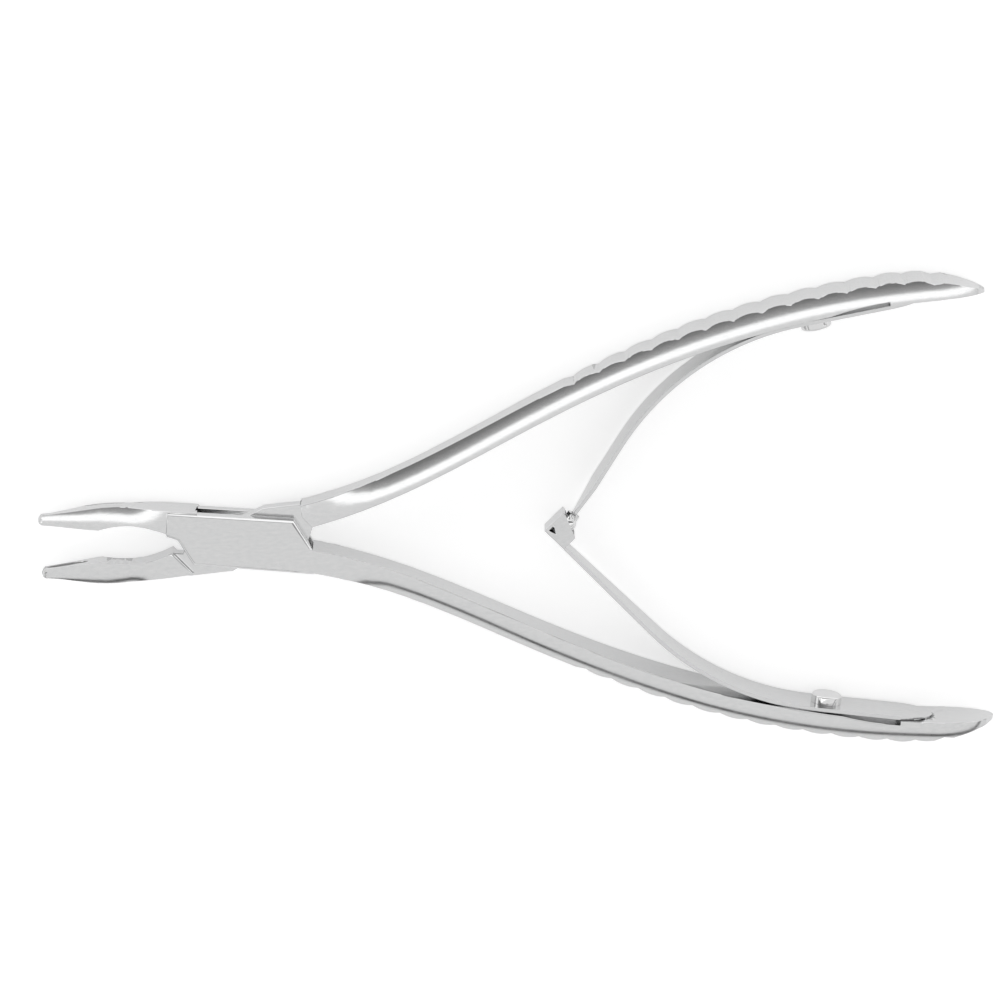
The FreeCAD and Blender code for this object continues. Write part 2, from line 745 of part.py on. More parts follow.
def make_screw(name):
    point, normal = screw_frame()
    base = point - normal * size("head_gap")
    head = cylinder(name + "_head", "Sizes.screw_head_radius", "Sizes.screw_head_height", base, normal * -1)
    doc.recompute()
    rims = [
        i
        for i, edge in enumerate(head.Shape.Edges, start=1)
        if isinstance(edge.Curve, Part.Circle) and (edge.CenterOfMass - base).Length > size("head_gap")
    ]
    domed = doc.addObject("Part::Fillet", name + "_domed")
    domed.Base = head
    domed.Edges = [(i, size("screw_dome"), size("screw_dome")) for i in rims]
    shank = cylinder(
        name + "_shank",
        "Sizes.screw_shank_radius",
        "Sizes.screw_depth + Sizes.leaf_thickness + Sizes.head_gap",
        base,
        normal,
    )
    return fuse(name, [domed, shank])


seat = seat_tool("SeatB")
seat_a = mirrored("SeatA", seat)
bore = screw_bore("ScrewBore", "0")
bore_a = mirrored("ScrewBoreA", bore)
half_a_seated = cut("HalfASeated", half_a_bored, seat_a)
half_a = cut("HalfA", half_a_seated, bore_a)
half_b_seated = cut("HalfBSeated", half_b_bored, seat)
half_b = cut("HalfB", half_b_seated, bore)
screw_b = make_screw("ScrewB")
screw_a = mirrored("ScrewA", make_screw("ScrewADrawn"))

JOINT = Vector(size("joint_x"), 0, 0)


class LeafPath:
    """A strip, open: along the handle from its tip, round the bend, then straight.
    The straight passes the ball's centre at a distance aim, on the side of the jaws."""

    def __init__(self, aim):
        start, along, _ = strip_line()
        self.heading = turned(along * -1, HALF)
        self.half = size("leaf_thickness") / 2
        out = Vector(self.heading.y, -self.heading.x, 0)
        self.middle = turned(start, HALF) - out * self.half
        self.centre = self.middle - out * size("leaf_bend_radius")
        low, high = 0.0, math.radians(80)
        for _ in range(60):
            self.turn = (low + high) / 2
            if self.miss() > aim:
                low = self.turn
            else:
                high = self.turn

    def bend_point(self, share, offset):
        """A point of the bend; the offset is away from the instrument's middle."""
        arm = turned(self.middle - self.centre, self.turn * share)
        return self.centre + arm.normalize() * (size("leaf_bend_radius") + offset)

    def direction(self):
        return turned(self.heading, self.turn)

    def miss(self):
        """Distance from the ball's centre to the straight, plus on the jaw side."""
        gap = JOINT - self.bend_point(1, 0)
        way = self.direction()
        return way.x * gap.y - way.y * gap.x

    def foot(self):
        """The point of the straight nearest to the ball's centre."""
        start = self.bend_point(1, 0)
        return start + self.direction() * self.direction().dot(JOINT - start)

    def outline(self, short):
        """Plan of the strip, ended a distance short of the foot."""
        end = self.foot() - self.direction() * short
        side = turned(self.direction(), -math.pi / 2)
        edges = []
        ends = []
        for offset in (-self.half, self.half):
            tip = turned(strip_point(size("leaf_tip_x"), offset - self.half), HALF)
            first, last = self.bend_point(0, offset), self.bend_point(1, offset)
            stop = end + side * offset
            edges.append(Part.LineSegment(tip, first))
            edges.append(Part.Arc(first, self.bend_point(0.5, offset), last))
            edges.append(Part.LineSegment(last, stop))
            ends.append((tip, stop))
        edges.append(Part.LineSegment(ends[0][1], ends[1][1]))
        edges.append(Part.LineSegment(ends[0][0], ends[1][0]))
        return edges


def taper_prism(name, path, short, length, end_width):
    """Narrows the straight of a strip towards its end."""
    way = path.direction()
    wide, narrow = size("leaf_width") / 2, end_width / 2
    far = size("tool_height")
    rim = [(-far, wide + 1), (-short - length, wide), (-short, narrow), (4, narrow)]
    rim = rim + [(u, -z) for u, z in reversed(rim)]
    side, deep = turned(way, math.pi / 2), size("tool_half_height")
    points = [path.foot() + way * u + Vector(0, 0, z) - side * deep for u, z in rim]
    face = Part.Face(Part.makePolygon(points + points[:1]))
    return shape_feature(name, face.extrude(side * 2 * deep))


def make_leaf(name, path, short, taper, end_width):
    strip = plate(name + "_plan", path.outline(short), "Sizes.leaf_width")
    length = size("leaf_tip_length")
    start = size("leaf_tip_x") - length
    tip = nose_prism(name + "_tip", start, length, size("leaf_width") / 2, 0, math.degrees(HALF))
    rounded = common(name + "_rounded", strip, tip)
    narrowing = taper_prism(name + "_taper", path, short, taper, end_width)
    tapered = common(name + "_tapered", rounded, narrowing)
    hole = screw_bore(name + "_hole", "Sizes.screw_clearance")
    point, normal = screw_frame()
    hole.Placement = Placement(
        turned(point - normal, HALF), Rotation(Vector(0, 0, 1), turned(normal, HALF))
    )
    return cut(name, tapered, hole)


upper_path = LeafPath(0.0)
lower_path = LeafPath(size("socket_rise"))
collar_reach = size("ball_radius") + size("collar_height")
leaf_b = make_leaf("LeafB", upper_path, collar_reach, size("neck_taper"), size("leaf_neck_width"))
cup_half = size("ball_radius") + size("socket_play") + size("socket_wall")
leaf_a_drawn = make_leaf(
    "LeafADrawn", lower_path, cup_half, size("cup_taper"), size("leaf_cup_width")
)
leaf_a = mirrored("LeafA", leaf_a_drawn)

# Ball and cup

back_way = upper_path.direction() * -1
ball = add("Part::Sphere", "BallRound", Radius="Sizes.ball_radius")
ball.Placement = Placement(JOINT, Rotation())
collar_length = "Sizes.ball_radius + Sizes.collar_height"
collar = cylinder("BallCollar", "Sizes.collar_radius", collar_length, JOINT, back_way)
ball_whole = fuse("Ball", [ball, collar])


def cup_plate(name, points, thickness):
    """A plate from points (along the strip, above its middle), about the ball's foot."""
    way = lower_path.direction()
    up = turned(way, math.pi / 2)
    foot = lower_path.foot()
    return plate(name, polygon([flat(foot + way * u + up * w) for u, w in points]), thickness)


wall = size("socket_wall")
base = -wall / 2
room = cup_half - wall
profile = [
    (-cup_half, base),
    (cup_half, base),
    (cup_half, base + size("socket_back")),
    (room, base + size("socket_back")),
    (-cup_half, base + size("socket_front")),
]
over = 2 * size("socket_back")
cavity = [(-room, wall / 2), (room, wall / 2), (room, over), (-room, over)]
notch_size = size("notch_size")
notch = [
    (room + 0.01, wall / 2),
    (room + 0.01, wall / 2 + notch_size),
    (room - notch_size, wall / 2 + notch_size / 3),
]
cup_block = cup_plate("CupBlock", profile, "Sizes.leaf_cup_width")
cup_cavity = cup_plate("CupCavity", cavity, "Sizes.leaf_cup_width - 2 * Sizes.socket_wall")
cup_notch = cup_plate("CupNotch", notch, "2 * Sizes.leaf_cup_width")
cup_hollow = cut("CupHollow", cup_block, cup_cavity)
cup_open = cut("CupOpen", cup_hollow, cup_notch)
cup = mirrored("Cup", cup_open)

# Places and export


def placed(label, feature, swing):
    """Name a sub-part and put it where it rests: swung about the pivot, then lifted."""
    feature.Label = label
    base = Vector(PIVOT_X, 0, MID_Z)
    feature.Placement = Placement(base, Rotation(Vector(0, 0, 1), math.degrees(swing)))
    feature.setExpression("Placement.Base.z", "Sizes.grip_half")
    return feature


SUB_PARTS = [
    placed("box_half", half_a, -HALF),
    placed("tang_half", half_b, HALF),
    placed("pivot_pin", pin_piece, 0),
    placed("upper_leaf_spring", leaf_b, 0),
    placed("lower_leaf_spring", leaf_a, 0),
    placed("spring_ball", ball_whole, 0),
    placed("spring_socket", cup, 0),
    placed("upper_spring_screw", screw_b, HALF),
    placed("lower_spring_screw", screw_a, -HALF),
]


def check_and_export():
    doc.recompute()
    failed = [o.Name for o in doc.Objects if {"Invalid", "Error"} & set(o.State)]
    if failed:
        raise RuntimeError("features failed: " + ", ".join(failed))
    for piece in SUB_PARTS:
        if piece.Shape.isNull() or not piece.Shape.isValid():
            raise RuntimeError(piece.Label + " has no valid shape")
        if len(piece.Shape.Solids) != 1:
            raise RuntimeError(piece.Label + " is not one solid")
    os.makedirs("parts", exist_ok=True)
    for piece in SUB_PARTS:
        piece.Shape.exportStep(os.path.join("parts", piece.Label + ".step"))


check_and_export()
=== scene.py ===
# %% [markdown]
# # A bone rongeur in satin steel
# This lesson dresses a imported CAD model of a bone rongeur: two crossed steel halves in a
# box joint, fine cupped jaws, bowed handles with serrations, and two leaf springs that
# meet in a ball and cup. The CAD frame already holds every piece in its real place, in
# metres, so the work here is the finish: smooth surfaces, eased edges, steel, light and
# a camera.

import json
import math

import bmesh
import bpy
from mathutils import Matrix, Vector

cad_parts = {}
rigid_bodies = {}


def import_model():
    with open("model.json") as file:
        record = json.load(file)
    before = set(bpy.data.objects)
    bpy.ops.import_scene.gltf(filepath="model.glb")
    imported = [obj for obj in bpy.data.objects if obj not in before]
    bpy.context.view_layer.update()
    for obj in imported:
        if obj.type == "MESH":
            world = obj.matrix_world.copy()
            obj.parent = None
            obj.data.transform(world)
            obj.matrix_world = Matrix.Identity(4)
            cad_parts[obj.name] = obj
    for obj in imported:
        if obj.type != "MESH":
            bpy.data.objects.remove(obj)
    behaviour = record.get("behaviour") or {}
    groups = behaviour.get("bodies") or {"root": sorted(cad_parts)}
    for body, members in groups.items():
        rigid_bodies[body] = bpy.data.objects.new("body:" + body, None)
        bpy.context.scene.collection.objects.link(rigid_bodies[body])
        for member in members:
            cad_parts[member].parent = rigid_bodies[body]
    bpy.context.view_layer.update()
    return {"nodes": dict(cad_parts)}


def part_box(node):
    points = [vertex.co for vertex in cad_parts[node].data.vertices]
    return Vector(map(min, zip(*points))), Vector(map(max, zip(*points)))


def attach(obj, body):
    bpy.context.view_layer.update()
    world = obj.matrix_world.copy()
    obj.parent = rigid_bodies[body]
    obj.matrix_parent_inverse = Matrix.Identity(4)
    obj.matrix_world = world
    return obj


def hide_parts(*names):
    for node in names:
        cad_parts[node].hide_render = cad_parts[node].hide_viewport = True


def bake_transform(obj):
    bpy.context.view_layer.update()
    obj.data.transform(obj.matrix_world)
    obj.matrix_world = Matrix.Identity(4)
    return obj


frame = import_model()

MM = 0.001

# %% [markdown]
# ## Where the instrument's own axes lie
# The pivot is the natural origin of such a tool. Its place is read from the pivot rivet,
# so every later length can be counted from the pivot, as a maker's drawing would. At
# rest each half is swung half of the opening away from the line on which it was drawn.

# %% Find the pivot
low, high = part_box("pivot_pin")
PIVOT = (Vector(low) + Vector(high)) / 2
OPENING = math.radians(12.4)
print("pivot, mm:", [round(v / MM, 2) for v in PIVOT])


def from_pivot(x, y, z=0.0):
    """A place in metres, from millimetres counted from the pivot."""
    return PIVOT + Vector((x, y, z)) * MM


# %% [markdown]
# ## Node materials
# Every finish here is a Principled shader with a few nodes before it, so the steps that
# repeat are written once: an empty material, a link, a grain, a range and a bump. The
# grain reads Object coordinates. The pieces sit unmoved at the origin, so it stays on
# the steel when a handle swings.

# %% Helpers for node materials
def new_material(name):
    """An empty node material with its Principled shader."""
    material = bpy.data.materials.new(name)
    material.use_nodes = True
    shader = material.node_tree.nodes["Principled BSDF"]
    return material, material.node_tree, shader


def link(tree, source, target):
    tree.links.new(source, target)


def combine(tree, operation, first, second):
    """A Math node; each of its two inputs is a link or a number."""
    node = tree.nodes.new("ShaderNodeMath")
    node.operation = operation
    for socket, value in zip(node.inputs, (first, second)):
        if isinstance(value, (int, float)):
            socket.default_value = value
        else:
            link(tree, value, socket)
    return node.outputs["Value"]


# %% Helpers for the grain of the steel
NOISE_LOW, NOISE_HIGH = 0.3, 0.7  # nearly all values of a noise lie between these


def grain(tree, scale, stretch, detail=4.0):
    """A noise on object coordinates, stretched along X."""
    place = tree.nodes.new("ShaderNodeTexCoord")
    mapping = tree.nodes.new("ShaderNodeMapping")
    mapping.inputs["Scale"].default_value = (1.0 / stretch, 1.0, 1.0)
    noise = tree.nodes.new("ShaderNodeTexNoise")
    noise.inputs["Scale"].default_value = scale
    noise.inputs["Detail"].default_value = detail
    link(tree, place.outputs["Object"], mapping.inputs["Vector"])
    link(tree, mapping.outputs["Vector"], noise.inputs["Vector"])
    return noise.outputs["Fac"]


def spread(tree, value, low, high):
    """A noise value stretched to a range."""
    remap = tree.nodes.new("ShaderNodeMapRange")
    remap.inputs["From Min"].default_value = NOISE_LOW
    remap.inputs["From Max"].default_value = NOISE_HIGH
    remap.inputs["To Min"].default_value = low
    remap.inputs["To Max"].default_value = high
    link(tree, value, remap.inputs["Value"])
    return remap.outputs["Result"]


def bump(tree, value, distance, strength):
    """A normal that is tilted by the slope of a value."""
    node = tree.nodes.new("ShaderNodeBump")
    node.inputs["Distance"].default_value = distance
    node.inputs["Strength"].default_value = strength
    link(tree, value, node.inputs["Height"])
    return node.outputs["Normal"]


# %% [markdown]
# ## Steel, satin finished
# The forgings are satin steel: bright grey, and still mirroring their surroundings as
# soft bands. Three things make it: a metallic shader of low roughness, a faint broad
# mottle in that roughness, and a fine grain that varies the tone by a few hundredths and
# breaks up the highlights with a bump too small to see as relief. The grain is
# stretched along the handles, because that is how such surfaces are linished.

# %% Satin steel for the forgings, the springs and the rivet
FINE_SCALE, FINE_STRETCH = 2600.0, 2.5
BROAD_SCALE, BROAD_STRETCH = 240.0, 3.0
GRAIN_HEIGHT, GRAIN_STRENGTH = 0.01 * MM, 0.25
GRAIN_SHADE = (0.94, 0.945, 0.95)  # the grain's dark side, as a share of the tone


def satin_steel(name, tone, rough, mottle):
    """Steel with a satin face: mirror bands softened, and a fine mottle."""
    material, tree, shader = new_material(name)
    shader.inputs["Metallic"].default_value = 1.0
    fine = grain(tree, FINE_SCALE, FINE_STRETCH)
    broad = grain(tree, BROAD_SCALE, BROAD_STRETCH)
    shade = tree.nodes.new("ShaderNodeMix")
    shade.data_type = "RGBA"
    shade.inputs["A"].default_value = (*(tone * part for part in GRAIN_SHADE), 1)
    shade.inputs["B"].default_value = (tone, tone, tone, 1)
    link(tree, spread(tree, fine, 0.0, 1.0), shade.inputs["Factor"])
    link(tree, shade.outputs["Result"], shader.inputs["Base Color"])
    rough_range = spread(tree, broad, rough - mottle, rough + mottle)
    link(tree, rough_range, shader.inputs["Roughness"])
    link(tree, bump(tree, fine, GRAIN_HEIGHT, GRAIN_STRENGTH), shader.inputs["Normal"])
    return material


forged_steel = satin_steel("forged_steel_satin", 0.74, 0.14, 0.02)
spring_steel = satin_steel("spring_steel_satin", 0.72, 0.14, 0.02)
rivet_steel = satin_steel("rivet_steel_satin", 0.74, 0.14, 0.02)
print("satin steels:", forged_steel.name, spring_steel.name, rivet_steel.name)

# %% [markdown]
# ## Steel, polished
# The ball and the screw heads are turned and polished bright. They need no bump, only a
# low roughness that varies a little, as faint turning marks do.

# %% Polished steel for the ball and the screw heads
MARKS_SCALE, MARKS_DETAIL = 900.0, 2.0
MARKS_SPREAD = 0.3  # how far the roughness strays from its middle, as a share of it


def polished_steel(name, tone, rough):
    """Steel polished bright, with the faintest turning marks."""
    material, tree, shader = new_material(name)
    shader.inputs["Metallic"].default_value = 1.0
    shader.inputs["Base Color"].default_value = (tone, tone, tone, 1)
    marks = grain(tree, MARKS_SCALE, 1.0, MARKS_DETAIL)
    smoothest, roughest = rough * (1 - MARKS_SPREAD), rough * (1 + MARKS_SPREAD)
    link(tree, spread(tree, marks, smoothest, roughest), shader.inputs["Roughness"])
    return material


ball_steel = polished_steel("ball_steel_polished", 0.8, 0.07)
screw_steel = polished_steel("screw_steel_polished", 0.78, 0.1)
print("polished steels:", ball_steel.name, screw_steel.name)


# %% [markdown]
# ## The crowned sides of the forgings
# The sides of the handles and jaws are gently crowned, and polished steel shows that
# crown as bands of light that run the whole length. Two things are needed for it. The
# CAD's crown is fuller along the shank than along the grip, so the copies are eased to
# one even crown, by a few tenths of a millimetre. And because a mesh of flat facets
# breaks the bands up, the normal at each corner is worked out from the crown's formula,
# a parabola across the bar, and set on the mesh. All sizes here are in millimetres from
# the pivot, on a half drawn closed.

# %% Ways from one size to another
def share(x, low, high):
    """0 before low, 1 after high, straight between."""
    return min(max((x - low) / (high - low), 0.0), 1.0)


def eased(x, low, high):
    """0 before low, 1 after high, and an even curve between."""
    t = share(x, low, high)
    return t * t * (3 - 2 * t)


def mix(t, start, end):
    """The size a share t of the way from start to end."""
    return start + t * (end - start)


# %% A smooth curve through points
def bends(xs, ys):
    """The second derivatives of a natural cubic spline at its points."""
    n = len(xs)
    gap = [b - a for a, b in zip(xs, xs[1:])]
    rise = [(b - a) / g for a, b, g in zip(ys, ys[1:], gap)]
    diagonal, right = [1.0] * n, [0.0] * n
    for i in range(1, n - 1):
        w = gap[i - 1] if i > 1 else 0.0
        diagonal[i] = 2 * (gap[i - 1] + gap[i]) - w * w / diagonal[i - 1]
        right[i] = 6 * (rise[i] - rise[i - 1]) - w * right[i - 1] / diagonal[i - 1]
    bend = [0.0] * n
    for i in range(n - 2, 0, -1):
        bend[i] = (right[i] - gap[i] * bend[i + 1]) / diagonal[i]
    return bend


def through(points):
    """A smooth curve y(x) through points, as a natural cubic spline."""
    xs, ys = zip(*points)
    bend = bends(xs, ys)

    def curve(x):
        i = max(k for k in range(len(xs) - 1) if x >= xs[k] or k == 0)
        a, b, gap = xs[i + 1] - x, x - xs[i], xs[i + 1] - xs[i]
        cubic = (bend[i] * a**3 + bend[i + 1] * b**3) / (6 * gap)
        near = ys[i] / gap - bend[i] * gap / 6
        far = ys[i + 1] / gap - bend[i + 1] * gap / 6
        return cubic + near * a + far * b

    return curve


# %% The handle's lines, from the box to the end
HANDLE_ROOT = 10.0  # where the handle leaves the cheek
ROOT_X, NECK_X, SHANK_X, GRIP_X, WIDE_X, END_X = 9.7, 23.5, 44.2, 68.3, 77.0, 112.4
SHANK_HALF, BOW_HALF, GRIP_HALF = 2.45, 3.15, 4.25
NOSE_LENGTH = 8.0
BAR = 3.35  # thickness of the handle, from its inner line outwards
INNER_LINE = [
    (ROOT_X, 0.65),
    (NECK_X, 3.55),
    (SHANK_X, 10.85),
    (GRIP_X, 18.0),
    (90.8, 20.95),
    (END_X, 20.35),
]
inner_line = through(INNER_LINE)
print("inner line at the grip, mm:", round(inner_line(GRIP_X), 2))


def handle_width(x, root_half):
    """Half the handle's width along its inner edge."""
    bow = mix(share(x, ROOT_X, SHANK_X), SHANK_HALF, BOW_HALF)
    bar = mix(eased(x, SHANK_X, WIDE_X), bow, GRIP_HALF)
    return mix(eased(x, ROOT_X, NECK_X), max(root_half, bar), bar)


def nose(x):
    """The rounding of the handle's end, as a share of its width."""
    return math.sqrt(max(1 - share(x, END_X - NOSE_LENGTH, END_X) ** 2, 0.0001))


# %% The handle's crown, as the CAD has it and made even
ROOT_INSET, SHANK_INSET, GRIP_INSET = 0.15, 0.8, 0.4  # the CAD's crown
TRUE_ROOT_INSET, CROWN, CROWN_FROM_X = 0.1, 0.7, 22.0  # the even one


def crowned(x, y, root_half, inset):
    """Half the width at a place, narrowing by the inset across the bar."""
    return handle_width(x, root_half) - inset * ((y - inner_line(x)) / BAR) ** 2


def cad_handle(x, y, root_half):
    """Half the CAD handle's width at a place on its side."""
    inset = mix(eased(x, ROOT_X, SHANK_X), ROOT_INSET, SHANK_INSET)
    inset = mix(eased(x, SHANK_X, GRIP_X), inset, GRIP_INSET)
    return min(crowned(x, y, root_half, inset), GRIP_HALF * nose(x))


def true_handle(x, y, root_half):
    """The same with the even crown, which runs out over the nose."""
    inset = mix(eased(x, HANDLE_ROOT, CROWN_FROM_X), TRUE_ROOT_INSET, CROWN)
    return crowned(x, y, root_half, inset) * nose(x)


# %% The jaw's crown, as the CAD has it
JAW_ROOT = 12.0  # where the jaw leaves the cheek
JAW_BLEND_X, JAW_FREE_X, BEAK_X, TIP_X = 11.7, 18.0, 22.1, 31.2
RIDGE_INSET = 0.15  # the root's side, narrower at the back of the jaw
MIDDLE = 0.45  # the jaw's fullest height, as a share of the whole


def cad_jaw(x, y, root_half):
    """Half the CAD jaw's width at a place on its side; x is counted towards the tip."""
    away, forward = eased(x, JAW_BLEND_X, JAW_FREE_X), share(x, BEAK_X, TIP_X)
    face = mix(away, root_half, mix(forward, 1.55, 1.035))
    barrel = mix(away, root_half, mix(forward, 2.2, 1.15))
    ridge = mix(away, root_half - RIDGE_INSET, mix(forward, 1.4, 0.8625))
    height = mix(away, 3.9, mix(forward, 3.4, 1.75))
    t = y / height
    total = face * (t - MIDDLE) * (t - 1) / MIDDLE
    total += barrel * t * (t - 1) / (MIDDLE * (MIDDLE - 1))
    return total + ridge * t * (t - MIDDLE) / (1 - MIDDLE)


# %% The jaw's crown, made even
TRUE_FREE_X = 19.0
TRUE_LEAN, TRUE_CROWN, TRUE_ROOT_CROWN = 0.075, 0.19, 0.01


def true_jaw(x, y, root_half):
    """Half the jaw's width with the even crown, leaning out a little at the bite."""
    away, forward = eased(x, JAW_BLEND_X, TRUE_FREE_X), eased(x, TRUE_FREE_X, TIP_X)
    face = mix(away, root_half, mix(forward, 1.9, 1.05))
    height = mix(share(x, BEAK_X, TIP_X), 3.4, 1.6)
    crown = away * (TRUE_LEAN * y - TRUE_CROWN * y * y / height)
    return face + crown - (1 - away) * TRUE_ROOT_CROWN * y * y


print("handle's half width at the grip, mm:", round(true_handle(GRIP_X, 18.0, SHANK_HALF), 2))
print("jaw's half width at the beak, mm:", round(true_jaw(BEAK_X, 0.0, SHANK_HALF), 2))

# %% [markdown]
# ## The two halves' sides
# One half is the other turned over, so one description serves both. It unswings a place
# to where the half was drawn, says whether handle or jaw lies there, moves vertices to
# the even crown and gives the crown's normal. Beside the box only what lies on the
# crown is moved, because the flat cheek ends there.

# %% A description of a half's sides
EDGE = 0.01  # mm, so that vertices on the root's own plane count as handle or jaw
NEAR_BOX, PAST_BOX = 14.5, 16.5
CLOSE, ANYWHERE = 0.03, 1.0  # mm above the crown that still belongs to it
STEP = 0.05  # mm, for slopes
SAME_FACE = math.cos(math.radians(16))


class Side:
    """Finds places on a half: x and y from the pivot, as drawn closed."""

    def __init__(self, swing, flip, cad_root, root):
        self.spin = Matrix.Rotation(-swing, 3, "Z")
        self.flip, self.cad_root, self.root = flip, cad_root, root

    def locate(self, place):
        """x, y, the signs that x and y were turned by, and the two crowns there."""
        x, y, _ = self.spin @ (place - PIVOT) / MM
        if x > HANDLE_ROOT - EDGE:
            return x, y * self.flip, 1, self.flip, cad_handle, true_handle
        if x < -JAW_ROOT + EDGE:
            return -x, -y * self.flip, -1, -self.flip, cad_jaw, true_jaw
        return None

    def reshape(self, mesh):
        """Ease the CAD's crown to the even one."""
        for vertex in mesh.vertices:
            found = self.locate(vertex.co)
            if not found:
                continue
            x, y, _, _, cad, true = found
            rise, crown = vertex.co.z - PIVOT.z, cad(x, y, self.cad_root)
            slack = mix(share(x, NEAR_BOX, PAST_BOX), CLOSE, ANYWHERE)
            if abs(rise) / MM < crown + slack:
                vertex.co.z = PIVOT.z + rise * true(x, y, self.root) / crown

    def normal(self, place, up):
        """The normal of the crowned side at a place; up is 1 above and -1 below."""
        found = self.locate(place)
        if not found:
            return None
        x, y, turn, mirror, _, true = found
        ahead, behind = true(x + STEP, y, self.root), true(x - STEP, y, self.root)
        outer, inner = true(x, y + STEP, self.root), true(x, y - STEP, self.root)
        slope_x, slope_y = (ahead - behind) / (2 * STEP), (outer - inner) / (2 * STEP)
        normal = Vector((-slope_x * turn, -slope_y * mirror, 1))
        normal.z *= up
        return self.spin.inverted() @ normal.normalized()

    def shade(self, mesh):
        """Set the crown's normals on the corners of the side faces."""
        normals = [corner.vector.copy() for corner in mesh.corner_normals]
        for face in mesh.polygons:
            up = 1 if face.center.z > PIVOT.z else -1
            for corner in face.loop_indices:
                place = mesh.vertices[mesh.loops[corner].vertex_index].co
                normal = self.normal(place, up)
                if normal and normal.dot(face.normal) > SAME_FACE:
                    normals[corner] = normal
        mesh.normals_split_custom_set(normals)


# %% The two sides
CHEEK_HALF = 3.05
ROOT_STEP = 0.06  # the CAD's handle and jaw leave the cheek this much below its face
BOX_SIDE = Side(-OPENING / 2, -1, CHEEK_HALF - ROOT_STEP, CHEEK_HALF)
TANG_SIDE = Side(OPENING / 2, 1, SHANK_HALF, SHANK_HALF)
print("half widths at the root, mm:", BOX_SIDE.root, TANG_SIDE.root)

# %% [markdown]
# ## Smooth faces from loose triangles
# A CAD node arrives as loose triangles, so light falls on it in flat facets. Each piece
# is therefore copied, its doubled corners are merged, and its faces are shaded smooth
# wherever they meet at less than a set angle. A bevel then eases the sharp edges, which
# on real steel always catch a thread of light, and weighted normals keep the flat faces
# flat beside it. The copy takes the node's place. Edges beside very narrow faces, and
# the rivet's flush seam, stay as they are, because a bevel has no room there.

# %% A helper that starts from nothing selected
def deselect():
    """Leave edit mode and select nothing."""
    if bpy.context.object and bpy.context.object.mode != "OBJECT":
        bpy.ops.object.mode_set(mode="OBJECT")
    bpy.ops.object.select_all(action="DESELECT")


# %% Helpers that ease the sharp edges
SMOOTH = math.radians(28)  # faces that meet at less are shaded as one
SHARP = math.radians(32)  # edges of more than this get a bevel
RIVET_REACH = 2.2 * MM


def narrowness(face):
    """The smaller measure of a face: its area over its longest edge."""
    return face.calc_area() / max(edge.calc_length() for edge in face.edges)


def mark_edges(mesh, small):
    """Weigh the sharp edges for a bevel, but not beside narrow steps or the rivet."""
    work = bmesh.new()
    work.from_mesh(mesh)
    weight = work.edges.layers.float.new("bevel_weight_edge")
    for edge in work.edges:
        if len(edge.link_faces) != 2 or edge.calc_face_angle() < SHARP:
            continue
        if min(narrowness(face) for face in edge.link_faces) < small:
            continue
        middle = (edge.verts[0].co + edge.verts[1].co) / 2 - PIVOT
        if middle.xy.length > RIVET_REACH:
            edge[weight] = 1.0
    work.to_mesh(mesh)
    work.free()


def ease_edges(piece, ease):
    """Bevel the marked edges of the active piece by ease, in millimetres."""
    mark_edges(piece.data, 2 * ease * MM)
    bevel = piece.modifiers.new("eased edges", "BEVEL")
    bevel.width = ease * MM
    bevel.segments = 2
    bevel.limit_method = "WEIGHT"
    bevel.use_clamp_overlap = False
    bpy.ops.object.modifier_apply(modifier=bevel.name)
    bpy.ops.object.shade_smooth_by_angle(angle=SMOOTH)
    weighted = piece.modifiers.new("flat faces stay flat", "WEIGHTED_NORMAL")
    weighted.keep_sharp = True
    bpy.ops.object.modifier_apply(modifier=weighted.name)


# %% Helpers that copy and merge a CAD node
SAME_CORNER, SAME_CORNER_RESHAPED = 0.002 * MM, 0.01 * MM
SAME_PLANE = math.radians(0.05)


def copied(node):
    """A copy of a CAD node, as the active object, with its place in its mesh."""
    deselect()
    source = frame["nodes"][node]
    source.select_set(True)
    bpy.context.view_layer.objects.active = source
    bpy.ops.object.duplicate()
    piece = bpy.context.object
    bpy.ops.object.parent_clear(type="CLEAR_KEEP_TRANSFORM")
    bpy.ops.object.transform_apply(location=True, rotation=True, scale=True)
    piece.name = node + "_finished"
    return piece


def merge_facets():
    """Join the loose triangles of the active piece into whole flat faces."""
    bpy.ops.object.mode_set(mode="EDIT")
    bpy.ops.mesh.select_all(action="SELECT")
    bpy.ops.mesh.remove_doubles(threshold=SAME_CORNER)
    bpy.ops.mesh.dissolve_limited(angle_limit=SAME_PLANE)
    bpy.ops.object.mode_set(mode="OBJECT")


def merge_slivers():
    """Drop what reshaping has left without an area."""
    bpy.ops.object.mode_set(mode="EDIT")
    bpy.ops.mesh.select_all(action="SELECT")
    bpy.ops.mesh.remove_doubles(threshold=SAME_CORNER_RESHAPED)
    bpy.ops.mesh.dissolve_degenerate(threshold=SAME_CORNER)
    bpy.ops.object.mode_set(mode="OBJECT")


# %% The helper that dresses a CAD node
def dressed(node, body, material, ease, side=None):
    """A smooth copy of a CAD node, with eased edges, riding on its body."""
    piece = copied(node)
    merge_facets()
    if side:
        side.reshape(piece.data)
        merge_slivers()
    bpy.ops.object.shade_smooth_by_angle(angle=SMOOTH)
    if ease:
        ease_edges(piece, ease)
    if side:
        side.shade(piece.data)
    piece.data.materials.clear()
    piece.data.materials.append(material)
    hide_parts(node)
    if body:
        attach(piece, body)
    print(piece.name, "faces:", len(piece.data.polygons))
    return piece


# %% [markdown]
# ## The forgings, the rivet and the screws
# The forgings get the widest bevel, a tenth of a millimetre, as a stoned edge has. The
# rivet is ground flush, so its rim is barely broken. The screw heads come rounded from
# the CAD and need none.

